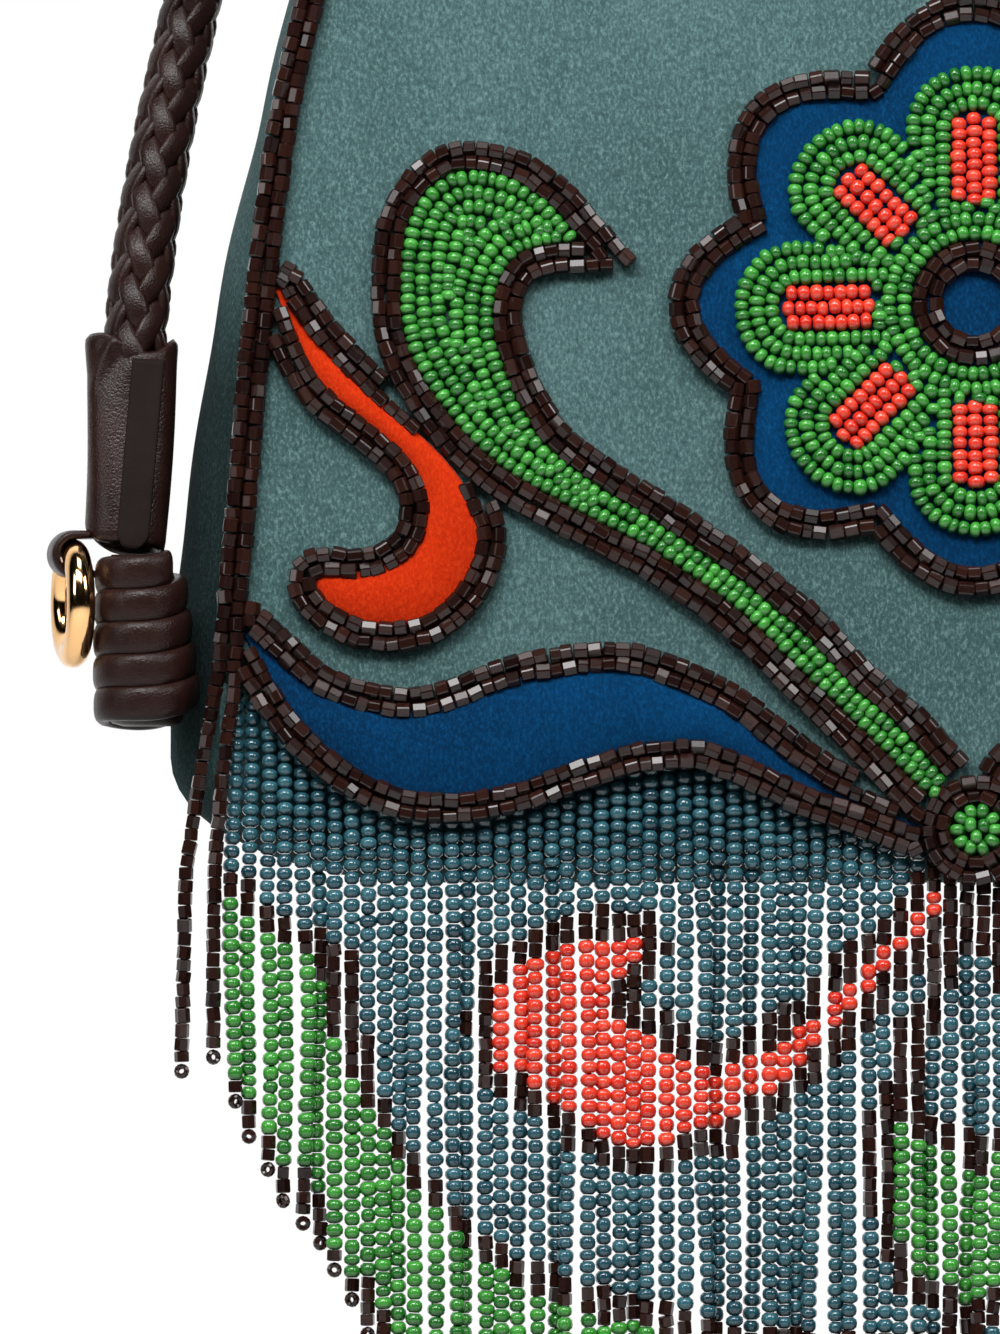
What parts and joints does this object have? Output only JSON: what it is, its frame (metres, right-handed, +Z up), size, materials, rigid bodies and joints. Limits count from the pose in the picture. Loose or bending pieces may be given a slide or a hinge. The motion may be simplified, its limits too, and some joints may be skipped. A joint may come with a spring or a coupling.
{
  "type": "beaded suede bag",
  "caption": "Suede shoulder bag with a bead-embroidered flap, a long bead fringe, a braided leather strap and side rings.",
  "frame": {"origin": "underside of the braided strap at its highest point, where a hook or a shoulder carries the bag", "axes": "+Z up, +X to the right of the bag's front, -Y out of the front flap"},
  "size_m": [0.2652, 0.0614, 0.4638],
  "materials": {
    "suede": "short nap",
    "blue_suede": "short nap",
    "orange_suede": "short nap",
    "lining": "plain woven cloth",
    "brown_beads": "faceted, glossy",
    "green_beads": "opaque, glossy",
    "coral_beads": "opaque, glossy",
    "teal_beads": "opaque, glossy",
    "leather": "smooth, oiled",
    "gilt_brass": "polished",
    "nickel": "satin"
  },
  "bodies": {
    "pouch": {"front_panel": "suede", "back_panel": "suede", "gusset": "suede", "lining": "lining", "snap_base": "nickel", "strap": "leather", "sleeve_left": "leather", "sleeve_right": "leather", "coil_knot_left": "leather", "coil_knot_right": "leather", "ring_loop_left": "leather", "ring_loop_right": "leather", "side_tab_left": "leather", "side_tab_right": "leather"},
    "flap": {"flap_panel": "suede", "snap_cap": "nickel", "edge_beads_left": "brown_beads", "edge_beads_right": "brown_beads", "comma_leaf_left": "green_beads", "comma_leaf_right": "green_beads", "comma_leaf_beads_left": "brown_beads", "comma_leaf_beads_right": "brown_beads", "wave_leaf_left": "blue_suede", "wave_leaf_right": "blue_suede", "wave_leaf_beads_left": "brown_beads", "wave_leaf_beads_right": "brown_beads", "flame_leaf_left": "orange_suede", "flame_leaf_right": "orange_suede", "flame_leaf_beads_left": "brown_beads", "flame_leaf_beads_right": "brown_beads", "flower_ground": "blue_suede", "flower_outline_beads": "brown_beads", "petal_beads": "green_beads", "flower_eye_beads": "brown_beads", "petal_core_1": "coral_beads", "petal_core_2": "coral_beads", "petal_core_3": "coral_beads", "petal_core_4": "coral_beads", "petal_core_5": "coral_beads", "petal_core_6": "coral_beads", "petal_core_7": "coral_beads", "petal_core_8": "coral_beads", "medallion_beads": "brown_beads", "medallion_eye": "green_beads", "fringe_head_left": "teal_beads", "fringe_head_right": "teal_beads"},
    "fringe": {"fringe_1": "teal_beads", "fringe_2": "teal_beads", "fringe_3": "teal_beads", "fringe_4": "teal_beads", "fringe_5": "teal_beads", "fringe_6": "teal_beads", "fringe_7": "teal_beads", "fringe_8": "teal_beads"},
    "ring_left": {"ring_left": "gilt_brass"},
    "ring_right": {"ring_right": "gilt_brass"}
  },
  "joints": [
    {"name": "flap_lift", "type": "hinge", "parent": "pouch", "child": "flap", "pos_m": [0, -0.0041, -0.2134], "axis": [-1, 0, 0], "range_deg": [0, 105]},
    {"name": "fringe_swing", "type": "hinge", "parent": "flap", "child": "fringe", "pos_m": [0, -0.04915, -0.36488], "axis": [-1, 0, 0], "range_deg": [-75, 75]},
    {"name": "ring_swing_left", "type": "hinge", "parent": "pouch", "child": "ring_left", "pos_m": [-0.1281, -0.038, -0.31425], "axis": [-0.2924, 0.9563, 0], "range_deg": [0, 40]},
    {"name": "ring_swing_right", "type": "hinge", "parent": "pouch", "child": "ring_right", "pos_m": [0.1281, -0.038, -0.31425], "axis": [-0.2924, -0.9563, 0], "range_deg": [0, 40]}
  ]
}
